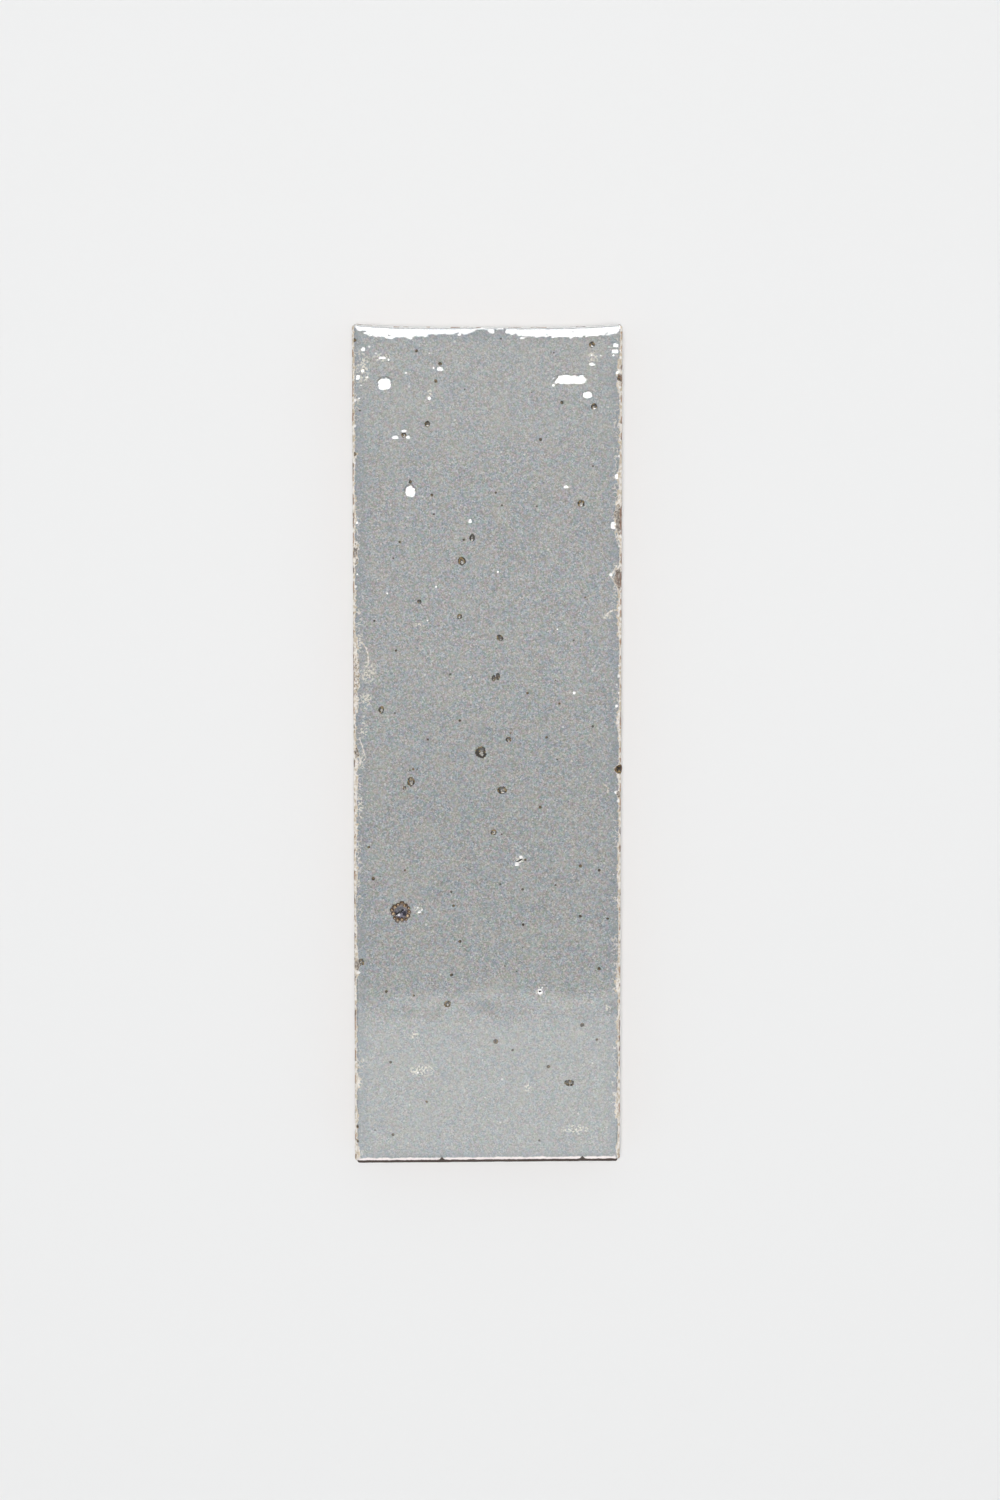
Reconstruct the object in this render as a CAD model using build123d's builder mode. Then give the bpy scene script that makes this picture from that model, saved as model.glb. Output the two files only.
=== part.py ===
from build123d import *
import math
import os

# Glazed brick tile: one pressed and fired slab of clay with a glazed face.
# It lies on its back with the glazed face up. X runs across the tile, Y from foot to head, Z out of the face.
# The origin is the centre of the back.

# Driving dimensions, in millimetres and degrees
tile_length = 200.0  # foot to head, over the head's corners
tile_width = 64.2  # across the back
tile_thickness = 13.0  # back to glazed face
mould_draft = 2.0  # slope of the four walls, which lets the mould go
head_dip = 1.0  # how far the middle of the head lies inside its corners
foot_skew = 0.5  # how far the foot runs out of square
head_roll_width = 3.2  # how far in from the head the face starts to roll over
head_roll_drop = 1.3  # how far the roll falls by the head's edge
head_roll_radius = 5.0  # where the face turns into the roll
arris_radius = 1.2  # the edges of the face, and the upright corners
back_chamfer = 0.6  # the edges of the back

# Chips along the long sides: side (-1 is left), share of the length from the foot, length and depth
edge_chips = {
    "right_top": (1, 0.935, 2.4, 0.5),
    "right_shoulder": (1, 0.776, 8.0, 0.8),
    "right_below_shoulder": (1, 0.699, 6.0, 0.8),
    "right_notch": (1, 0.475, 2.6, 1.0),
    "right_curl": (1, 0.444, 2.2, 0.5),
    "left_scar": (-1, 0.585, 22.0, 0.6),
    "left_nick": (-1, 0.495, 3.0, 0.6),
    "left_low": (-1, 0.244, 3.0, 0.8),
}

# Burst bubbles in the glaze: share of the width from the left, share of the length from the foot, mouth and depth
face_pits = {
    "iron_burst": (0.181, 0.306, 5.2, 0.7),
    "ring_pit": (0.474, 0.495, 2.8, 0.5),
    "white_pit_high": (0.128, 0.926, 3.0, 0.5),
    "white_pit_left": (0.224, 0.802, 2.6, 0.5),
    "white_pit_right": (0.863, 0.915, 2.2, 0.4),
    "brown_pit_high": (0.407, 0.720, 2.2, 0.4),
    "brown_pit_middle": (0.531, 0.583, 2.4, 0.4),
    "brown_pit_low": (0.553, 0.448, 2.2, 0.4),
    "small_pit_high": (0.844, 0.788, 2.0, 0.4),
    "small_pit_low": (0.525, 0.400, 1.8, 0.3),
}

# The long blister near the head, which burst along its length
blister_place = (0.798, 0.932)  # share of the width from the left, share of the length from the foot
blister_length = 7.2
blister_width = 2.4
blister_depth = 0.5
blister_slope = 40.0  # lean of its walls


def cap_radius(mouth, depth):
    """Radius of the ball that leaves a hollow of this mouth and depth."""
    return (mouth**2 / 4 + depth**2) / (2 * depth)


def face_place(width_share, length_share):
    """Point on the plan at these shares of the width from the left and of the length from the foot."""
    return tile_width * (width_share - 0.5), tile_length * (length_share - 0.5)


half_length = tile_length / 2
half_width = tile_width / 2
wall_lean = tile_thickness * math.tan(math.radians(mould_draft))  # how far a wall leans in over its height
arris_inset = arris_radius * (1 - math.sqrt(0.5))  # the rounded arris lies this far in from the sharp one, each way
arris_x = half_width - wall_lean - arris_inset
arris_z = tile_thickness - arris_inset

with BuildPart() as tile:
    # The plan at the back, with a dipped head and a foot that runs out of square
    with BuildSketch() as plan:
        with BuildLine():
            foot_left = (-half_width, -half_length)
            foot_right = (half_width, foot_skew - half_length)
            head_right = (half_width, half_length)
            head_left = (-half_width, half_length)
            Line(foot_left, foot_right)
            Line(foot_right, head_right)
            ThreePointArc(head_right, (0, half_length - head_dip), head_left)
            Line(head_left, foot_left)
        make_face()
    extrude(amount=tile_thickness, taper=mould_draft)

    # The rolled head, then the arrises with the upright corners, then the back
    face = tile.faces().sort_by(Axis.Z)[-1]
    chamfer(face.edges().sort_by(Axis.Y)[-1], head_roll_width, head_roll_drop, reference=face)
    fillet(tile.faces().sort_by(Axis.Z)[-1].edges().sort_by(Axis.Y)[-1], head_roll_radius)
    side_and_foot_arrises = tile.faces().sort_by(Axis.Z)[-1].edges().sort_by(Axis.Y)[:-1]
    head_arris = tile.faces().sort_by(Axis.Y)[-1].edges().sort_by(Axis.Z)[-1:]
    upright_corners = tile.edges().filter_by(lambda e: abs(e.tangent_at(0.5).Z) > 0.9)
    fillet(side_and_foot_arrises + head_arris + upright_corners, arris_radius)
    chamfer(tile.faces().sort_by(Axis.Z)[0].edges(), back_chamfer)

    # Each chip is the bite of a ball that stands off the arris at 45 degrees
    for side, length_share, chip_length, chip_depth in edge_chips.values():
        ball = cap_radius(chip_length, chip_depth)
        stand_off = (ball - chip_depth) * math.sqrt(0.5)
        _, y = face_place(0.5, length_share)
        with Locations((side * (arris_x + stand_off), y, arris_z + stand_off)):
            Sphere(ball, rotation=(90, 0, 0), mode=Mode.SUBTRACT)

    # Each burst bubble is the bite of a ball that stands over the face
    for width_share, length_share, mouth, depth in face_pits.values():
        ball = cap_radius(mouth, depth)
        x, y = face_place(width_share, length_share)
        with Locations((x, y, tile_thickness - depth + ball)):
            Sphere(ball, rotation=(90, 0, 0), mode=Mode.SUBTRACT)

    # The long blister
    with BuildSketch(Plane.XY.offset(tile_thickness)):
        with Locations(face_place(*blister_place)):
            SlotOverall(blister_length, blister_width)
    extrude(amount=-blister_depth, taper=blister_slope, mode=Mode.SUBTRACT)

tile.part.label = "glazed_brick_tile"
os.makedirs("parts", exist_ok=True)
export_step(tile.part, "parts/glazed_brick_tile.step")
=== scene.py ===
import math

import bmesh
import bpy
import numpy as np
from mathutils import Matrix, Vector, noise


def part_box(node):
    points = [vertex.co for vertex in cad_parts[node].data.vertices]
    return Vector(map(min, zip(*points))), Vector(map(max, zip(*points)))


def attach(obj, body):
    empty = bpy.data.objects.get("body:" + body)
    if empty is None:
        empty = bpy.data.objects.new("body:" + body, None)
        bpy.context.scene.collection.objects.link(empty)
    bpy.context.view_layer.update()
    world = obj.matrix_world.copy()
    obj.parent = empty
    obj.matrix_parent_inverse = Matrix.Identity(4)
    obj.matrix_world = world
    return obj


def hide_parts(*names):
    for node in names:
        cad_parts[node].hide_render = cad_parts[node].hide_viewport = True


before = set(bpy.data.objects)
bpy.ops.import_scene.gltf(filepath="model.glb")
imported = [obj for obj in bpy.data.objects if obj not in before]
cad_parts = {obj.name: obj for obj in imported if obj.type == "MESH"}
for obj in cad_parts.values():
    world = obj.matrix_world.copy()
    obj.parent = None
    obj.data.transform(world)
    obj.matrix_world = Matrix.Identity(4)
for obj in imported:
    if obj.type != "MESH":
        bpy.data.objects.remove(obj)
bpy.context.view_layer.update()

# The tile: a slab of brown clay pressed in an open mould, so its walls lean in towards the face.
# Its face was dipped in a thick grey glaze, which rolled over the head and drew thin on the other edges.
# Slab and glaze are one fired piece. Its top and walls are a grid of cells, halved near edges and marks.
MM = 0.001
low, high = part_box("glazed_brick_tile")
half_width = (high.x - low.x) / 2 / MM
half_length = (high.y - low.y) / 2 / MM
middle_y = (high.y + low.y) / 2 / MM
thickness = high.z / MM
wall_draft = math.radians(2.0)
wall_slope = math.tan(wall_draft)
foot_skew = 0.5
head_dip = 0.85
arris_radius = 1.2
head_arris_radius = 0.45
corner_wear = 1.2
back_chamfer = 0.6
glaze_sink = 0.08
trough_place = -61.5
trough_depth = 0.008
trough_width = 2.2
cell = 1.0
wall_levels = (12.0, 11.0, 10.0, 8.5, 7.0, 5.5, 4.0, 2.5, 1.2, back_chamfer, 0.0)

# The roll of glaze at the head: how far it reaches down the face at places across it.
# It pulled back at two places, with a bead between them.
roll_slope = 0.5
roll_curve = 1.5
roll_fade = 6.0
roll_band = 5.0
roll_ripple = 0.10
roll_reach = {
    -32.0: 0.5, -30.5: 1.9, -28.0: 2.7, -22.5: 3.6, -17.0: 3.0, -14.5: 2.8, -13.5: 2.2, -7.0: 2.1, -5.0: 2.4,
    -3.5: 1.6, -2.0: 0.3, -0.6: 0.3, 0.2: 1.5, 0.9: 2.0, 1.6: 1.7, 2.4: 0.3, 3.8: 0.5, 4.4: 1.8,
    5.2: 2.1, 6.5: 2.2, 8.0: 2.9, 15.0: 2.8, 21.0: 3.1, 24.0: 2.9, 28.5: 2.8, 30.0: 2.9, 31.2: 2.5, 32.0: 1.2,
}
# Dents in the glaze mirror the light: millimetres right of and above the middle, width and length.
# Their depth is a share of their length.
dent_depth = 0.26
dents = {
    "upper_left": (-24.0, 85.5, 3.8, 3.1),
    "left": (-18.0, 60.5, 2.9, 3.1),
    "blister": (19.5, 86.5, 8.2, 2.4),
    "right": (23.5, 83.0, 2.5, 1.9),
    "head": (-11.0, 89.0, 1.8, 1.3),
    "pair_left": (-21.5, 73.0, 1.8, 1.0),
    "pair_right": (-18.5, 73.0, 1.2, 0.9),
    "pair_top": (-19.5, 74.5, 1.4, 0.7),
    "middle": (-4.0, 53.5, 1.0, 1.2),
    "shoulder": (18.5, 61.5, 1.4, 1.0),
    "shoulder_edge": (30.5, 64.0, 1.5, 1.6),
    "chip_side": (29.5, 52.5, 1.6, 1.9),
    "low_chip_side": (29.0, 41.0, 1.0, 1.0),
    "by_blister": (24.5, 90.0, 1.6, 0.9),
    "right_corner": (30.0, 94.5, 1.4, 1.2),
    "right_corner_low": (30.0, 93.0, 2.4, 1.1),
    "right_chip": (30.5, 88.0, 1.2, 0.9),
    "left_corner": (-29.0, 93.5, 1.3, 1.1),
    "left_line": (-24.5, 91.5, 2.0, 0.7),
    "left_edge": (-30.5, 87.0, 1.8, 1.4),
    "left_edge_high": (-29.0, 88.5, 1.0, 1.0),
    "slit": (7.5, -26.5, 1.9, 1.4),
    "burst_glint": (-21.0, -39.5, 0.9, 0.8),
}
# Flecks are small milky dents, painted white partly as painted glints: place and width.
flecks = [
    (-27.5, 94.0, 0.6), (-23.0, 91.0, 0.6), (-25.5, 91.0, 0.5), (-26.0, 92.5, 0.5), (-28.0, 87.0, 0.6),
    (-29.5, 85.0, 0.5), (-31.0, 81.5, 0.9), (-31.0, 75.5, 0.7), (-30.0, 82.0, 0.5), (-13.5, 82.0, 0.8),
    (-19.0, 88.0, 0.6), (-13.5, 92.5, 0.6), (-12.5, 89.0, 0.6), (24.5, 92.0, 0.6), (26.5, 92.0, 0.5),
    (29.5, 92.0, 0.6), (31.0, 91.5, 0.6), (28.5, 94.0, 0.5), (15.5, 85.0, 0.6), (31.5, 70.0, 0.9),
    (31.0, 68.5, 0.8), (31.0, 81.5, 0.7), (31.0, 84.5, 0.6), (31.0, 47.5, 0.7), (2.5, 41.5, 0.7),
    (-23.5, 36.5, 0.6), (-12.0, 38.0, 0.6), (16.5, 28.0, 0.6), (20.5, 13.0, 0.7), (-14.0, 30.0, 0.6),
    (31.0, -12.5, 1.0), (-31.0, 38.0, 0.8), (-31.0, 67.0, 0.7), (31.0, 33.0, 0.7), (31.0, 8.0, 0.7),
    (30.5, -10.5, 1.1), (31.0, -11.5, 0.7), (-3.5, 49.0, 0.7), (-6.0, 44.0, 0.5), (-16.5, -77.5, 0.6),
    (12.5, -58.0, 1.4), (13.0, -57.0, 0.5), (11.5, -58.5, 0.5), (7.0, -27.5, 1.1), (8.0, -26.0, 1.0),
    (-30.5, -51.0, 0.6), (-30.5, -53.5, 0.8), (-31.0, -52.5, 0.6), (-16.0, -39.0, 0.6), (-16.5, -38.0, 0.5),
    (-15.5, -38.5, 0.5), (31.0, 6.0, 0.6), (30.5, 10.0, 0.8), (31.0, 13.0, 0.7), (31.0, 17.0, 0.9),
    (30.5, 15.0, 0.6), (31.0, 19.5, 0.7), (30.0, -30.0, 0.6), (-30.5, 53.0, 0.6), (-30.5, 41.0, 0.7),
]
# Rings are bubbles that burst and left a rim of iron: place, width and length.
ring_rim_height = 0.04
ring_hollow_depth = 0.08
rings = {
    "ring": (-1.5, -1.0, 2.6, 2.7),
    "high": (-6.0, 44.0, 1.9, 1.9),
    "high_small": (-3.5, 49.5, 1.4, 1.8),
    "right_high": (22.0, 57.5, 1.7, 1.7),
    "left_small": (-16.0, 34.5, 1.1, 1.0),
    "dark": (-6.5, 31.0, 1.3, 1.2),
    "middle_small": (3.0, 26.0, 1.6, 1.5),
    "cluster_left": (1.5, 16.5, 1.0, 1.5),
    "cluster_right": (2.5, 17.0, 1.0, 1.7),
    "open": (-25.0, 9.0, 1.3, 1.8),
    "left_low": (-18.0, -8.0, 1.8, 2.2),
    "left_low_small": (-19.5, -9.5, 0.9, 1.0),
    "low": (3.5, -10.0, 2.2, 1.8),
    "middle_eye": (5.0, 2.0, 1.3, 1.3),
    "low_small": (1.5, -20.0, 1.5, 1.4),
    "foot_left": (-9.5, -61.0, 1.6, 1.6),
    "corner": (24.5, 94.5, 1.5, 1.4),
    "below_dent": (25.0, 80.0, 1.5, 1.6),
    "upper_eye": (-14.0, 76.0, 1.3, 1.4),
    "between_pair": (-19.5, 73.5, 1.2, 1.2),
    "left_edge": (-30.0, -51.0, 1.6, 1.7),
    "foot_right": (19.5, -80.0, 2.3, 1.5),
}
# The largest bubble left a ring of iron crumbs round a glassy hollow with a slit across it.
burst_place = (-20.5, -39.0)
burst_width = 5.0
burst_crumbs = 13
crumb_width = 1.15
crumb_height = 0.10
burst_depth = 0.10
# Slits are bubbles that collapsed to a line: its two ends. The shortest is a pinhole.
slit_depth = 0.30
slits = [((-21.5, -39.5), (-20.0, -38.5)), ((7.0, -27.0), (8.0, -26.5)), ((12.4, -58.0), (12.6, -58.0))]
# Specks are iron grains that melted into the glaze: place and width.
specks = [
    (-14.0, 2.0, 0.6), (-16.5, -5.0, 0.6), (-6.5, 6.5, 0.7), (14.0, 2.5, 0.7), (17.0, 10.5, 0.7),
    (9.5, 13.0, 0.7), (12.5, -14.0, 0.8), (9.0, -26.5, 0.6), (22.0, -28.0, 0.8), (26.5, -29.0, 0.8),
    (-27.0, -31.0, 0.9), (-28.0, -23.5, 0.7), (-19.5, -29.0, 0.6), (-8.0, -37.5, 0.7), (-6.5, -46.0, 0.8),
    (-8.5, -54.0, 0.8), (-24.0, -58.0, 0.7), (-17.5, -59.0, 0.6), (28.5, -40.5, 0.7), (22.0, -40.0, 0.8),
    (8.5, -42.0, 0.7), (26.5, -52.5, 0.9), (2.0, -70.0, 1.2), (22.5, -66.0, 1.1), (26.0, -69.5, 0.7),
    (14.5, -76.0, 0.9), (6.0, -72.0, 0.6), (-23.0, -75.0, 0.7), (-14.5, -84.5, 0.7), (-22.5, -92.5, 0.8),
    (17.5, 81.0, 0.9), (12.5, 72.5, 0.8), (-12.0, 86.0, 0.9), (-13.0, 59.5, 0.7), (2.0, 60.0, 0.6),
    (-12.5, 55.0, 0.6), (-20.5, 48.5, 0.6), (-26.5, 30.0, 0.7), (23.0, 35.5, 0.6), (-21.5, 23.0, 0.7),
    (-5.5, 49.0, 0.7), (-11.0, 90.0, 1.0), (-31.0, -90.5, 0.8), (-31.0, -94.0, 0.8), (5.5, 3.5, 0.6),
    (-16.5, 93.0, 0.8), (-18.0, 62.5, 0.9), (-17.5, -5.0, 0.6), (-31.0, 95.5, 1.0), (-31.0, 69.0, 1.0),
]
# Pale patches are where the glaze is milky or scuffed: place, width and length.
pale_patches = [
    (-15.5, -77.0, 8.0, 3.6), (12.5, -58.0, 2.8, 2.8), (7.5, -26.5, 3.0, 2.4), (-17.5, -68.5, 3.2, 2.6),
    (-28.0, 18.0, 4.5, 7.0), (-28.5, 11.0, 3.0, 6.0), (-29.0, 4.5, 2.4, 5.0), (-30.0, 25.0, 2.0, 7.0),
    (-29.5, -3.0, 2.4, 5.0), (-30.0, -14.0, 1.8, 9.0), (21.0, -91.0, 8.0, 2.8), (7.0, -93.0, 1.8, 1.2),
    (9.0, 69.0, 2.6, 1.6), (-24.5, 91.5, 6.0, 2.6), (-16.5, -38.5, 3.0, 2.0), (24.5, 91.5, 3.4, 3.4),
    (20.0, -3.0, 2.0, 1.4), (28.5, -62.0, 2.4, 2.0), (28.0, 31.0, 3.0, 1.4), (-26.0, 40.0, 1.6, 1.2),
    (-16.0, 29.0, 2.6, 1.6), (-29.0, 89.0, 4.0, 9.0), (9.5, -81.0, 3.0, 3.0), (-13.5, 83.0, 2.0, 3.0),
]
# Fine cracks in the thin glaze beside chips: the points that each runs through.
cracks = {
    "left_scar": [(-29.5, 25.0), (-28.5, 23.5), (-28.0, 22.0), (-28.0, 20.0)],
    "left_nick": [(-30.0, 2.0), (-29.5, 0.5), (-29.0, -1.5)],
    "left_nick_low": [(-31.0, -1.5), (-30.0, -2.5), (-30.0, -4.0)],
    "right_shoulder": [(31.5, 59.5), (30.5, 57.5), (30.0, 54.0), (30.0, 50.5), (31.0, 47.5)],
    "right_below_shoulder": [(30.5, 43.0), (29.0, 40.5), (30.0, 39.0), (31.0, 37.5)],
    "right_arc": [(28.0, 31.5), (29.5, 32.5), (31.0, 32.5)],
    "right_tick": [(27.5, -8.5), (28.5, -9.5), (28.5, -10.5)],
}
# Chips along the long sides: side (-1 is left), place along the tile, length, depth and share of bare clay.
chips = {
    "right_top": (1, 87.0, 2.6, 0.6, 1.0),
    "right_shoulder": (1, 54.0, 11.0, 0.9, 0.35),
    "right_below_shoulder": (1, 40.0, 6.4, 0.9, 0.6),
    "right_notch": (1, -5.0, 2.4, 1.2, 1.6),
    "right_curl": (1, -11.0, 2.2, 0.5, 0.8),
    "left_long": (-1, 45.5, 8.0, 0.4, 0.4),
    "left_scar": (-1, 17.0, 22.0, 0.6, 0.25),
    "left_nick": (-1, -1.0, 3.0, 0.7, 0.55),
    "left_low": (-1, -51.5, 3.0, 0.8, 0.45),
}
chip_roughness = 0.30
# Nicks in the foot's arris: places across the tile.
foot_nicks = (-11.0, 23.0)


def lumps(points, size, seed):
    """Smooth noise from -1 to 1 at each point, in lumps about this many millimetres across."""
    return np.array([noise.noise(Vector(p)) for p in points / size + seed])


def ramp(start, end, values):
    """0 at start and 1 at end, eased at both."""
    share = np.clip((values - start) / (end - start), 0, 1)
    return share * share * (3 - 2 * share)


def slab_grid():
    """Box of the tile's size in millimetres: a grid on its top and walls, and one flat face for the back."""
    grid = bmesh.new()
    xs = np.linspace(-half_width, half_width, round(2 * half_width / cell) + 1)
    ys = np.linspace(-half_length, half_length, round(2 * half_length / cell) + 1)
    top = [[grid.verts.new((x, y, thickness)) for y in ys] for x in xs]
    for i in range(len(xs) - 1):
        for j in range(len(ys) - 1):
            grid.faces.new((top[i][j], top[i + 1][j], top[i + 1][j + 1], top[i][j + 1]))
    foot = [row[0] for row in top]
    head = [row[-1] for row in top]
    rim = foot + top[-1][1:-1] + head[::-1] + top[0][-2:0:-1]
    for z in wall_levels:
        below = [grid.verts.new((v.co.x, v.co.y, z)) for v in rim]
        for k in range(len(rim)):
            grid.faces.new((rim[k - 1], below[k - 1], below[k], rim[k]))
        rim = below
    grid.faces.new(rim[::-1])
    return grid


def inset_of(points):
    """Distance in from the edge of the face; below the face, minus the distance down the wall."""
    plan = np.minimum(half_width - np.abs(points[:, 0]), half_length - np.abs(points[:, 1]))
    depth = thickness - points[:, 2]
    return np.where(depth > 1e-4, -depth, plan)


def from_line(points, line):
    """Distance of each point, seen from above, to the nearest stretch of a line of points."""
    nearest = np.full(len(points), 99.0)
    for start, end in zip(np.array(line[:-1]), np.array(line[1:])):
        run = end - start
        share = np.clip((points[:, :2] - start) @ run / (run @ run), 0, 1)
        nearest = np.minimum(nearest, np.linalg.norm(points[:, :2] - start - share[:, None] * run, axis=1))
    return nearest


formed_marks = [*dents.values(), *flecks, *rings.values(), (*burst_place, burst_width)]
formed_marks = np.array([mark[:3] for mark in formed_marks])
flat_marks = np.array(specks)


def near_mark(points, marks, margin):
    """Whether each point of the face lies within this margin of a mark."""
    away = np.linalg.norm(points[:, None, :2] - marks[None, :, :2], axis=2)
    return ((away - marks[:, 2] / 2).min(axis=1) < margin) & (points[:, 2] > thickness - 1e-4)


def halve_cells(grid, band, head_band, wall_band, formed_margin, flat_margin):
    """Halves the cells near the edge of the face, near its marks and near its cracks."""
    cells = [face for face in grid.faces if len(face.verts) <= 4]
    middles = np.array([face.calc_center_median() for face in cells])
    inset = inset_of(middles)
    picked = near_mark(middles, formed_marks, formed_margin) | ((inset < band) & (inset > -wall_band))
    picked |= (middles[:, 1] > half_length - head_band) & (inset > 0)
    if flat_margin:
        picked |= near_mark(middles, flat_marks, flat_margin)
        for line in cracks.values():
            picked |= (from_line(middles, line) < flat_margin) & (inset > 0)
    edges = {edge for face, pick in zip(cells, picked) if pick for edge in face.edges}
    bmesh.ops.subdivide_edges(grid, edges=list(edges), cuts=1, use_grid_fill=True)


grid = slab_grid()
halve_cells(grid, band=4.6, head_band=5.0, wall_band=3.0, formed_margin=1.3, flat_margin=1.3)
halve_cells(grid, band=1.9, head_band=4.0, wall_band=1.4, formed_margin=0.6, flat_margin=0.6)
halve_cells(grid, band=0.0, head_band=0.0, wall_band=0.0, formed_margin=0.15, flat_margin=0.0)
flat = np.array([v.co for v in grid.verts])
inset = inset_of(flat)

# Rounded edges: each point is pushed out from the nearest point of a core that lies one radius in.
edge_radius = np.full_like(flat, arris_radius)
edge_radius[:, 1] = np.where(flat[:, 1] > 0, head_arris_radius, arris_radius)
reach = np.array([half_width, half_length, 0]) - edge_radius
core = np.clip(flat, -reach, reach)
core[:, 2] = np.minimum(flat[:, 2], thickness - arris_radius)
outward = (flat - core) / edge_radius
outward /= np.linalg.norm(outward, axis=1, keepdims=True)
shaped = core + outward * edge_radius

# Worn corners: each square corner of the plan is drawn in to a quarter circle.
corner_start = np.array([half_width, half_length]) - corner_wear
beyond = np.clip((np.abs(shaped[:, :2]) - corner_start) / corner_wear, 0, 1)
in_corner = beyond.min(axis=1) > 0
shrink = beyond[in_corner].max(axis=1) / np.linalg.norm(beyond[in_corner], axis=1)
rounded = corner_start + beyond[in_corner] * shrink[:, None] * corner_wear
shaped[in_corner, :2] = np.sign(shaped[in_corner, :2]) * rounded

# The head's roll, with a ragged lower edge.
across = np.stack([flat[:, 0], np.zeros(len(flat)), np.zeros(len(flat))], axis=1)
roll = np.interp(flat[:, 0], list(roll_reach.keys()), list(roll_reach.values()))
roll *= 1 + 0.14 * lumps(across, 1.9, 3.1) + 0.10 * lumps(across, 1.0, 8.7)
from_head = np.clip((half_length - shaped[:, 1]) / roll, 0, 1)
down_wall = np.clip((thickness - shaped[:, 2] - arris_radius) / roll_fade, 0, 1)
shaped[:, 2] -= roll_slope * roll / roll_curve * (1 - from_head) ** roll_curve * (1 - down_wall)
near_roll = flat[:, 1] > half_length - roll_band
ripple = np.zeros(len(flat))
ripple[near_roll] = lumps(flat[near_roll], 0.8, 1.9)
at_roll_edge = ramp(1.0, 0.85, from_head) * ramp(0.40, 0.70, from_head)
shaped[:, 2] += roll_ripple * ripple * np.clip(half_length - flat[:, 1], 0, 1) * at_roll_edge

# Worn arrises and pressed walls that are not quite flat.
on_arris = 4 * outward[:, 2] ** 2 * (1 - outward[:, 2] ** 2)
on_wall = ramp(0.3, 0.0, outward[:, 2])
near_edge = inset < 3.0
edge_points = shaped[near_edge]
wear = np.zeros(len(flat))
wear[near_edge] = 0.15 + 0.14 * lumps(edge_points, 2.6, 1.3) + 0.12 * lumps(edge_points, 0.9, 5.9)
unevenness = np.zeros(len(flat))
unevenness[near_edge] = 0.10 + 0.10 * lumps(edge_points, 7.0, 2.2) + 0.04 * lumps(edge_points, 1.6, 4.8)
shaped -= outward * (np.clip(wear, 0, 1) * on_arris + unevenness * on_wall)[:, None]

# The chamfered back, the leaning walls, the dipped head and the skewed foot.
to_back = np.clip(1 - shaped[:, 2] / back_chamfer, 0, 1) * back_chamfer
shaped[:, :2] -= np.sign(shaped[:, :2]) * to_back[:, None]
lean = wall_slope * shaped[:, 2]
along = np.clip(shaped[:, 1] / half_length, -1, 1)
aside = np.clip(shaped[:, 0] / half_width, -1, 1)
shaped[:, 0] *= (half_width - lean) / half_width
shaped[:, 1] *= (half_length - lean) / half_length
shaped[:, 1] -= head_dip * (1 - aside**4) * ramp(0.85, 1.0, along)
shaped[:, 1] += foot_skew * (aside + 1) / 2 * ramp(-0.85, -1.0, along)

# The glaze, almost flat, with a long slow swell and a faint trough across its lower part.
face = (inset > 0) & (outward[:, 2] > 0.5)
swell = np.zeros(len(flat))
swell[face] = 0.012 * lumps(shaped[face], 17.0, 4.4) + 0.012 * lumps(shaped[face], 5.0, 9.2)
trough_line = trough_place + 4.0 * lumps(across[face], 7.0, 6.6)
swell[face] -= trough_depth * np.exp(-(((shaped[face, 1] - trough_line) / trough_width) ** 2))
shaped[:, 2] += (swell - glaze_sink) * face * np.clip(inset / 2.0, 0, 1)

# Dents and flecks, deepest at their head end.
near_marks = near_mark(flat, np.vstack([formed_marks, flat_marks]), 1.3)
ragged = np.zeros(len(flat))
ragged[near_marks] = lumps(shaped[near_marks], 0.9, 7.7) + 0.7 * lumps(shaped[near_marks], 0.4, 2.9)
sunk = np.zeros(len(flat))
fleck_glint = np.full(len(flat), 3.0)
for x, y, width in flecks:
    away = np.hypot(shaped[:, 0] - x, shaped[:, 1] - y) - width / 2
    fleck_glint = np.minimum(fleck_glint, np.where(near_marks, away + 0.20 * ragged, 3.0))
for x, y, width, length in [*dents.values(), *((x, y, width, width) for x, y, width in flecks)]:
    a = (shaped[:, 0] - x) / (width / 2)
    b = (shaped[:, 1] - y) / (length / 2)
    power = 4.0 if width > 2 * length else 2.4
    away = (np.abs(a) ** power + np.abs(b) ** power) ** (1 / power)
    inside = ramp(1.0, 0.8, away + 0.22 * ragged) * near_marks
    sunk = np.maximum(sunk, dent_depth * length * np.clip((b + 1.1) / 2, 0, 1) * inside)
shaped[:, 2] -= sunk

# Rings: how far each point lies from the middle of a ring and of the hollow in it, as shares of its radius.
ring = np.full(len(flat), 3.0)
hollow = np.full(len(flat), 3.0)
for x, y, width, length in rings.values():
    a = (shaped[:, 0] - x) / (width / 2)
    b = (shaped[:, 1] - y) / (length / 2)
    ring = np.minimum(ring, np.where(near_marks, np.hypot(a, b) + 0.20 * ragged, 9.0))
    hollow = np.minimum(hollow, np.where(near_marks, np.hypot(a - 0.12, b + 0.18) + 0.15 * ragged, 9.0))
ring_rim = np.exp(-(((ring - 0.85) / 0.2) ** 2))
shaped[:, 2] += ring_rim_height * ring_rim - ring_hollow_depth * ramp(0.7, 0.2, hollow)

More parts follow.
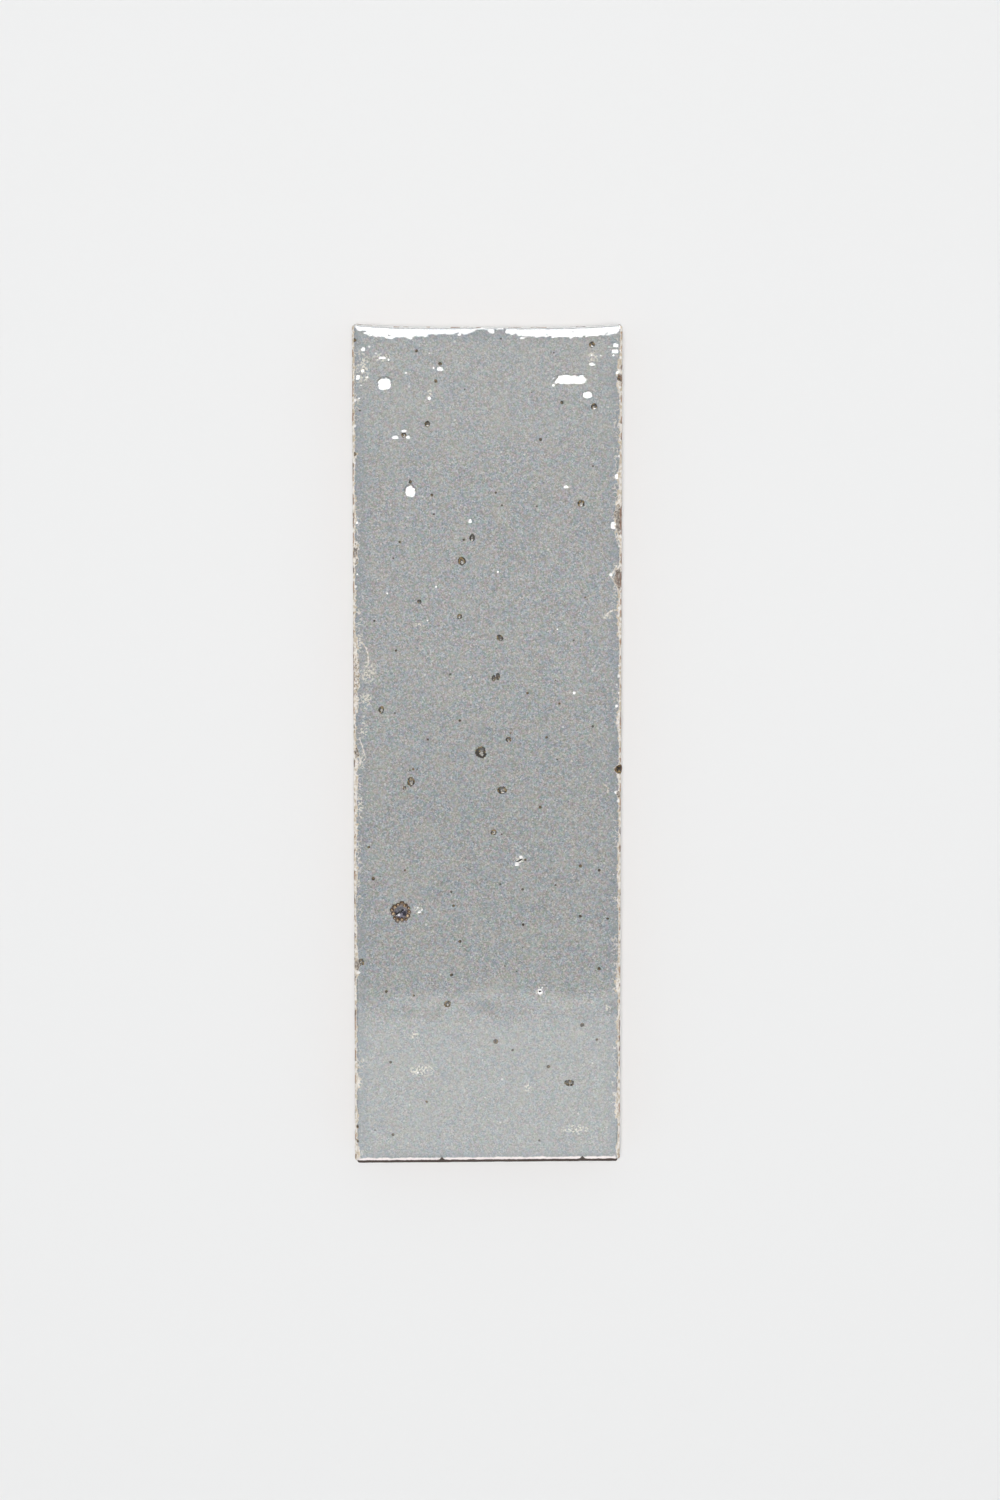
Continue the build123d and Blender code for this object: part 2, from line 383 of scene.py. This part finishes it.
# The burst: crumbs in a ring, each a small mound, round a shallow hollow.
from_burst = shaped[:, :2] - np.array(burst_place)
burst_radius = np.hypot(from_burst[:, 0], from_burst[:, 1]) * 2 / burst_width
turn = np.arctan2(from_burst[:, 1], from_burst[:, 0]) / (2 * np.pi) * burst_crumbs
beside_crumb = (turn - np.round(turn)) * 2 * np.pi * 0.8 * burst_width / 2 / burst_crumbs
crumb_ring = 0.78 + 0.10 * np.sin(np.round(turn) * 2.4)
crumb_size = crumb_width * (0.85 + 0.25 * np.sin(np.round(turn) * 4.1))
crumb = np.hypot(beside_crumb, (burst_radius - crumb_ring) * burst_width / 2) / (crumb_size / 2)
crumb = np.where(near_marks, crumb + 0.25 * ragged, 9.0)
shaped[:, 2] += crumb_height * ramp(1.0, 0.0, crumb) - burst_depth * ramp(0.7, 0.1, burst_radius)

# Slits, cut steep.
slit = np.min([from_line(shaped, line) for line in slits], axis=0)
slit = np.where(near_marks, slit + 0.05 * ragged, 9.0)
shaped[:, 2] -= slit_depth * ramp(0.24, 0.05, slit)

# Specks, pale patches and cracks: distances that the finish is laid by.
speck = np.full(len(flat), 3.0)
for x, y, width in specks:
    away = np.hypot(shaped[:, 0] - x, shaped[:, 1] - y) - width / 2
    speck = np.minimum(speck, np.where(near_marks, away + 0.12 * ragged, 3.0))
pale = np.full(len(flat), 3.0)
for x, y, width, length in pale_patches:
    pale = np.minimum(pale, np.hypot((shaped[:, 0] - x) / (width / 2), (shaped[:, 1] - y) / (length / 2)))
crack = np.full(len(flat), 9.0)
for line in cracks.values():
    crack = np.minimum(crack, from_line(shaped, line))

# Chips: the bite of a ball that stands off the arris at 45 degrees, with a broken surface.
chipped = np.zeros(len(flat))
broken = np.zeros(len(flat))
broken[near_edge] = lumps(shaped[near_edge], 1.3, 6.1) + 0.9 * lumps(shaped[near_edge], 0.6, 3.3)
arris_inset = arris_radius * (1 - math.sqrt(0.5))
arris_x = half_width - wall_slope * thickness - arris_inset
for side, y, length, depth, bareness in chips.values():
    ball = (length**2 / 4 + depth**2) / (2 * depth)
    stand_off = (ball - depth) * math.sqrt(0.5)
    centre = np.array([side * (arris_x + stand_off), y, thickness - arris_inset + stand_off])
    ray = shaped - centre
    gap = np.linalg.norm(ray, axis=1)
    bitten = np.clip(ball + chip_roughness * broken - gap, 0, 3)
    shaped += ray / gap[:, None] * bitten[:, None]
    chipped = np.maximum(chipped, bareness * np.clip(bitten / (0.7 * depth), 0, 1))

# Where clay starts to show: above the foot's arris, with two nicks, and a little way down the head's.
end_band = 4.0
from_side = half_width - np.abs(flat[:, 0])
foot_reach = (flat[:, 1] < end_band - half_length) * ramp(2.5, 1.2, -inset)
at_foot = ramp(0.8, -0.4, half_length + flat[:, 1] - from_side) * foot_reach
at_head = ramp(0.8, -0.4, half_length - flat[:, 1] - from_side) * (flat[:, 1] > half_length - end_band)
bared = inset - 1.9 * at_foot + 0.2 * at_head
bared[near_edge] += (0.30 - 0.20 * at_foot[near_edge]) * lumps(edge_points, 2.2, 7.1)
for x in foot_nicks:
    bared -= 0.7 * at_foot * np.exp(-(((flat[:, 0] - x) / 0.5) ** 2))

shaped[:, 1] += middle_y
shaped = np.clip(shaped, np.array(low) / MM, np.array(high) / MM)
for vert, place in zip(grid.verts, shaped * MM):
    vert.co = place
tile_mesh = bpy.data.meshes.new("fired_tile")
grid.to_mesh(tile_mesh)
grid.free()
for polygon in tile_mesh.polygons:
    polygon.use_smooth = len(polygon.vertices) <= 4
kept_masks = {
    "inset": inset, "bared": bared, "foot": at_foot, "head": at_head, "ring": ring, "hollow": hollow,
    "burst": burst_radius, "crumb": crumb, "slit": slit, "speck": speck, "fleck_glint": fleck_glint, "pale": pale,
    "crack": crack, "chipped": chipped,
}
for name, values in kept_masks.items():
    tile_mesh.attributes.new(name, "FLOAT", "POINT").data.foreach_set("value", values.astype(np.float32))
tile = bpy.data.objects.new("fired_tile", tile_mesh)
bpy.context.scene.collection.objects.link(tile)


# The tile's finish: a glossy grey glaze full of fine blue-grey, beige and dark grains. It is cream where it
# runs thin on edges and brown where iron melted through it. Bare brown clay shows on the walls, on the
# back and in the chips. Some light and shade is painted into the colour too, noted where it is laid.
def srgb(red, green, blue):
    """Linear colour of an sRGB one given from 0 to 255."""
    parts = [value / 255 for value in (red, green, blue)]
    return [p / 12.92 if p <= 0.04045 else ((p + 0.055) / 1.055) ** 2.4 for p in parts] + [1.0]


def put(tree, kind, inputs=None, **settings):
    """Adds a node, sets its properties and fills its inputs with values or links."""
    made = tree.nodes.new(kind)
    for key, value in settings.items():
        setattr(made, key, value)
    for key, value in (inputs or {}).items():
        if isinstance(value, bpy.types.NodeSocket):
            tree.links.new(value, made.inputs[key])
        else:
            made.inputs[key].default_value = value
    return made


def sum_node(tree, operation, *values, clamp=False):
    """Output of a sum on values or links."""
    made = put(tree, "ShaderNodeMath", dict(enumerate(values)), operation=operation, use_clamp=clamp)
    return made.outputs[0]


def speck_group():
    """Scattered round specks: the mask is 1 inside a speck."""
    group = bpy.data.node_groups.new("scattered specks", "ShaderNodeTree")
    group.interface.new_socket("Vector", in_out="INPUT", socket_type="NodeSocketVector")
    for name in ("Spacing", "Size"):
        group.interface.new_socket(name, in_out="INPUT", socket_type="NodeSocketFloat")
    group.interface.new_socket("Mask", in_out="OUTPUT", socket_type="NodeSocketFloat")
    start = group.nodes.new("NodeGroupInput").outputs
    end = group.nodes.new("NodeGroupOutput")
    density = sum_node(group, "DIVIDE", 1.0, start["Spacing"])
    cells = put(group, "ShaderNodeTexVoronoi", {"Vector": start["Vector"], "Scale": density}).outputs
    chance = put(group, "ShaderNodeSeparateColor", {"Color": cells["Color"]}).outputs["Red"]
    width = sum_node(group, "MULTIPLY", chance, sum_node(group, "MULTIPLY", start["Size"], density))
    depth = sum_node(group, "SUBTRACT", width, cells["Distance"])
    mask = sum_node(group, "MULTIPLY", depth, sum_node(group, "MULTIPLY", start["Spacing"], 14.0), clamp=True)
    group.links.new(mask, end.inputs["Mask"])
    return group


finish = bpy.data.materials.new("glazed_clay")
finish.use_nodes = True
tree = finish.node_tree
shader = tree.nodes["Principled BSDF"]
shader.inputs["IOR"].default_value = 1.75
place = put(tree, "ShaderNodeTexCoord").outputs["Object"]
place_mm = put(tree, "ShaderNodeVectorMath", {0: place, "Scale": 1 / MM}, operation="SCALE").outputs[0]
speck_tree = speck_group()


def cloud(size, detail=2.0):
    """Smooth noise from 0 to 1, in lumps about this many millimetres across."""
    inputs = {"Vector": place_mm, "Scale": 1 / size, "Detail": detail}
    return put(tree, "ShaderNodeTexNoise", inputs).outputs["Fac"]


def cells(size):
    """Three random numbers from 0 to 1 for each grain about this many millimetres across."""
    grains = put(tree, "ShaderNodeTexVoronoi", {"Vector": place_mm, "Scale": 1 / size}).outputs["Color"]
    return put(tree, "ShaderNodeSeparateColor", {"Color": grains}).outputs


def speckled(spacing, size):
    """Mask of scattered specks."""
    made = put(tree, "ShaderNodeGroup", node_tree=speck_tree)
    tree.links.new(place_mm, made.inputs["Vector"])
    made.inputs["Spacing"].default_value = spacing
    made.inputs["Size"].default_value = size
    return made.outputs["Mask"]


def kept(name, size=0.0, amount=0.0):
    """One of the masks kept on the mesh, shaken by noise of this size and amount."""
    value = put(tree, "ShaderNodeAttribute", attribute_name=name).outputs["Fac"]
    if not amount:
        return value
    shake = sum_node(tree, "MULTIPLY_ADD", cloud(size, 3.0), amount, -amount / 2)
    return sum_node(tree, "ADD", value, shake)


def eased(value, start, end):
    """Mask that goes from 0 at start to 1 at end."""
    inputs = {"Value": value, "From Min": start, "From Max": end}
    return put(tree, "ShaderNodeMapRange", inputs, interpolation_type="SMOOTHSTEP").outputs["Result"]


def times(first, *others):
    """Product of masks."""
    for other in others:
        first = sum_node(tree, "MULTIPLY", first, other)
    return first


def coat(under, over, mask, strength=1.0):
    """The under colour with the over colour laid on it where the mask is 1."""
    mix = put(tree, "ShaderNodeMix", data_type="RGBA")
    weight = mask if strength == 1.0 else times(mask, strength)
    for socket, value in ((mix.inputs[0], weight), (mix.inputs[6], under), (mix.inputs[7], over)):
        if isinstance(value, bpy.types.NodeSocket):
            tree.links.new(value, socket)
        else:
            socket.default_value = value
    return mix.outputs[2]


# Grains of the glaze, its slow changes over the face, and painted light towards the foot and the head
grain = cells(0.27)
tone = sum_node(tree, "MULTIPLY_ADD", cloud(0.7), 0.15, times(grain["Red"], 0.85))
hue = eased(cloud(1.1), 0.36, 0.64)
cool = coat(srgb(116, 125, 131), srgb(174, 182, 187), tone)
warm = coat(srgb(129, 126, 121), srgb(184, 181, 174), tone)
glaze = coat(cool, warm, hue)
glaze = coat(glaze, srgb(134, 164, 138), eased(cloud(0.9), 0.50, 0.62), 0.28)
glaze = coat(glaze, srgb(182, 150, 172), eased(cloud(0.8), 0.50, 0.62), 0.25)
glaze = coat(glaze, srgb(226, 224, 220), eased(grain["Blue"], 0.90, 0.96), 0.35)
glaze = coat(glaze, srgb(92, 94, 92), eased(grain["Green"], 0.90, 0.96), 0.35)
glaze = coat(glaze, srgb(176, 172, 160), eased(cloud(6.0, 3.0), 0.40, 0.72), 0.22)
glaze = coat(glaze, srgb(130, 140, 149), eased(cloud(4.0, 3.0), 0.52, 0.75), 0.20)
along_tile = put(tree, "ShaderNodeSeparateXYZ", {"Vector": place_mm}).outputs["Y"]
# Painted reflection: the face is lightened towards the foot, where the glaze mirrors the white card.
glaze = coat(glaze, srgb(158, 163, 161), eased(along_tile, -56.0, -72.0), 0.25)
# Painted light: the face is lightened towards the head.
glaze = coat(glaze, srgb(190, 191, 186), eased(along_tile, 60.0, 84.0), 0.14)
glaze = coat(glaze, srgb(126, 137, 147), eased(kept("inset", 2.0, 2.4), 4.5, 1.2), 0.30)
glaze = coat(glaze, srgb(70, 64, 54), speckled(4.2, 0.36), 0.8)
glaze = coat(glaze, srgb(222, 220, 214), speckled(3.6, 0.34), 0.6)
milky = times(eased(kept("pale", 0.8, 1.4), 1.0, 0.4), eased(cloud(0.5), 0.50, 0.57))
glaze = coat(glaze, srgb(228, 222, 208), milky, 0.75)

# Thin glaze: cream on the sides, broken and of changing width, with brown dashes at the outline
cream = coat(srgb(204, 188, 164), srgb(240, 234, 226), eased(cloud(0.8), 0.35, 0.60))
sides = sum_node(tree, "SUBTRACT", sum_node(tree, "SUBTRACT", 1.0, kept("foot")), kept("head"), clamp=True)
side_width = sum_node(tree, "MULTIPLY_ADD", eased(cloud(7.0, 3.0), 0.45, 0.68), 1.0, 0.30)
side_line = eased(sum_node(tree, "SUBTRACT", kept("inset", 0.8, 2.0), side_width), 0.20, -0.10)
colour = coat(glaze, cream, times(side_line, sides), 0.9)
colour = coat(colour, cream, times(eased(kept("inset", 0.45, 4.4), 0.3, -0.3), sides), 0.7)
curls = times(eased(cloud(1.5, 1.0), 0.46, 0.49), eased(cloud(1.5, 1.0), 0.54, 0.51))
curls = times(curls, eased(kept("inset", 3.0, 3.0), 2.6, 1.6), eased(cloud(11.0), 0.45, 0.55), sides)
colour = coat(colour, cream, curls, 0.6)
colour = coat(colour, cream, eased(kept("crack", 0.5, 0.6), 0.24, 0.08), 0.75)
# Painted highlight: the outermost glaze of the head's roll is painted near-white, standing in for the roll's
# glare up to the outline.
colour = coat(colour, srgb(240, 240, 238), times(kept("head"), eased(kept("inset", 0.5, 0.3), 0.55, 0.35)))
dashes = times(eased(cloud(2.6, 4.0), 0.51, 0.57), eased(kept("inset", 0.6, 1.4), 0.05, -0.30))
colour = coat(colour, coat(srgb(164, 126, 96), srgb(78, 58, 46), eased(cloud(3.5), 0.45, 0.65)), dashes, 0.8)
# The foot's arris: thin pale glaze, painted near-white partly as a painted highlight.
foot_glaze_and_highlight = times(kept("foot"), eased(kept("inset", 1.5, 0.7), 1.55, 1.20))
colour = coat(colour, srgb(243, 232, 229), foot_glaze_and_highlight, 0.95)
# Flecks painted near-white: partly milky glaze, partly painted glints.
colour = coat(colour, srgb(244, 242, 240), eased(kept("fleck_glint", 0.3, 0.3), -0.02, -0.14), 0.9)

# Chips: cream at the rim, then broken grey glaze and brown clay
chip = kept("chipped", 0.5, 0.5)
colour = coat(colour, cream, eased(kept("chipped"), 0.0, 0.10), 0.9)
shards = coat(srgb(88, 76, 66), srgb(168, 160, 150), eased(cloud(0.6, 3.0), 0.42, 0.60))
colour = coat(colour, shards, eased(chip, 0.18, 0.34), 0.85)

# Iron: dark rings with a grey middle, specks, and the burst's crumbs round its glassy hollow
flakes = cells(0.36)
iron_edge = kept("ring", 0.35, 0.35)
iron = eased(iron_edge, 1.08, 0.94)
rust = coat(srgb(38, 30, 18), srgb(122, 100, 56), eased(flakes["Blue"], 0.66, 0.85))
colour = coat(colour, rust, iron, 0.92)
middle = coat(srgb(74, 68, 60), srgb(182, 178, 170), eased(flakes["Red"], 0.45, 0.80))
colour = coat(colour, middle, eased(kept("hollow", 0.35, 0.4), 0.50, 0.36), 0.85)
spots = eased(kept("speck", 0.3, 0.25), 0.06, -0.10)
iron_grain = coat(srgb(50, 40, 28), srgb(108, 88, 54), eased(flakes["Green"], 0.5, 0.8))
colour = coat(colour, iron_grain, spots, 0.88)
crumb_edge = kept("crumb", 0.3, 0.4)
colour = coat(colour, srgb(72, 50, 30), eased(kept("burst", 0.5, 0.3), 0.90, 0.80), 0.75)
colour = coat(colour, srgb(68, 46, 26), eased(crumb_edge, 1.30, 1.05), 0.9)
crust = coat(srgb(108, 80, 44), srgb(212, 184, 146), eased(flakes["Red"], 0.30, 0.80))
colour = coat(colour, crust, eased(crumb_edge, 0.70, 0.35), 0.9)
glass = eased(kept("burst", 0.5, 0.3), 0.62, 0.50)
colour = coat(colour, coat(srgb(46, 44, 54), srgb(122, 118, 130), eased(cloud(0.6), 0.42, 0.62)), glass)
colour = coat(colour, srgb(14, 11, 12), eased(kept("slit"), 0.26, 0.16))

# Bare clay on the walls, on the back and in the chips; painted shade darkens it along the foot, and deep in
# the chips it is painted near-black with painted gold highlights
clay = coat(srgb(104, 78, 62), srgb(160, 126, 100), cloud(0.6, 4.0))
clay = coat(clay, srgb(92, 70, 58), eased(cloud(7.0, 4.0), 0.45, 0.70), 0.25)
clay = coat(clay, srgb(72, 56, 48), speckled(2.6, 0.4), 0.45)
# Painted shade: the bare clay along the foot is darkened to near-black, standing in for a contact shadow.
clay = coat(clay, srgb(44, 33, 29), kept("foot"), 0.9)
# Painted shade and painted highlights: deep in the chips the clay is near-black with gold flecks.
chip_shade_and_highlights = coat(srgb(30, 22, 14), srgb(148, 118, 62), eased(flakes["Green"], 0.62, 0.80))
clay = coat(clay, chip_shade_and_highlights, eased(chip, 0.85, 1.05))
bare = sum_node(tree, "MAXIMUM", eased(kept("bared", 0.6, 0.4), -1.0, -1.2), eased(chip, 0.50, 0.70))
colour = coat(colour, clay, bare)
tree.links.new(colour, shader.inputs["Base Color"])

# Gloss: glassy on the glaze, dry on clay
gloss = sum_node(tree, "MULTIPLY_ADD", cloud(3.0), 0.03, 0.04)
rough = sum_node(tree, "MULTIPLY_ADD", bare, 0.75, gloss, clamp=True)
tree.links.new(rough, shader.inputs["Roughness"])
tooth = times(sum_node(tree, "ADD", cloud(0.5, 4.0), cloud(0.2)), bare, 0.10)
bump = put(tree, "ShaderNodeBump", {"Height": tooth, "Distance": MM, "Strength": 1.0})
tree.links.new(bump.outputs["Normal"], shader.inputs["Normal"])
tile_mesh.materials.append(finish)
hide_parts("glazed_brick_tile")
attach(tile, "root")

# The floor: a wide sheet of matt white paper that the tile lies on.
# It is only the studio's, and lies a hair under the tile's back.
floor_reach = 3.0
floor_drop = 0.00005
floor_mesh = bpy.data.meshes.new("paper_floor")
corners = [(x * floor_reach, y * floor_reach, -floor_drop) for x, y in ((-1, -1), (1, -1), (1, 1), (-1, 1))]
floor_mesh.from_pydata(corners, [], [(0, 1, 2, 3)])
floor = bpy.data.objects.new("paper_floor", floor_mesh)
bpy.context.scene.collection.objects.link(floor)
paper = bpy.data.materials.new("white_paper")
paper.use_nodes = True
paper_shader = paper.node_tree.nodes["Principled BSDF"]
paper_shader.inputs["Base Color"].default_value = (0.79, 0.79, 0.785, 1)
paper_shader.inputs["Roughness"].default_value = 0.9
paper_shader.inputs["Specular IOR Level"].default_value = 0.1
floor_mesh.materials.append(paper)


# The light: a soft lamp overhead, a long window past the head that the roll and the dents mirror,
# and a white card past the foot that the lower part of the face mirrors.
def lamp(name, place, aim, size, radiance):
    """Soft rectangular lamp of this size in metres, facing the aim point."""
    data = bpy.data.lights.new(name, "AREA")
    data.shape = "RECTANGLE"
    data.size, data.size_y = size
    data.energy = radiance * math.pi * size[0] * size[1]
    made = bpy.data.objects.new(name, data)
    made.location = place
    made.rotation_euler = (Vector(aim) - Vector(place)).to_track_quat("-Z", "Y").to_euler()
    made.visible_camera = False
    bpy.context.scene.collection.objects.link(made)
    return made


overhead = lamp("overhead_lamp", (-0.02, 0.15, 2.2), (0, 0, 0), (0.3, 0.6), 71.5)
overhead.visible_glossy = False
window = lamp("window", (0, 0.95, 0.95), (0, 0.05, 0), (1.5, 0.95), 10.5)
window.visible_diffuse = False
card = lamp("white_card", (0, -1.255, 1.2), (0, -1.255, 0), (2.4, 2.0), 1.3)
card.visible_diffuse = False
world = bpy.data.worlds.new("studio")
world.use_nodes = True
world.node_tree.nodes["Background"].inputs["Color"].default_value = (0.95, 0.97, 1.0, 1)
world.node_tree.nodes["Background"].inputs["Strength"].default_value = 0.28
bpy.context.scene.world = world
bpy.context.scene.view_settings.view_transform = "Standard"

# The camera: over the tile and a little towards its head, looking down on the face.
camera_distance = 0.720
camera_pitch = math.radians(4.58)
camera_aim = Vector((0.00300, -0.0005, high.z))
camera_data = bpy.data.cameras.new("camera")
camera_data.sensor_width = 36.0
camera_data.lens = 73.26
camera = bpy.data.objects.new("camera", camera_data)
camera.location = camera_aim + camera_distance * Vector((0, math.sin(camera_pitch), math.cos(camera_pitch)))
camera.rotation_euler = (-camera_pitch, 0, 0)
bpy.context.scene.collection.objects.link(camera)
bpy.context.scene.camera = camera
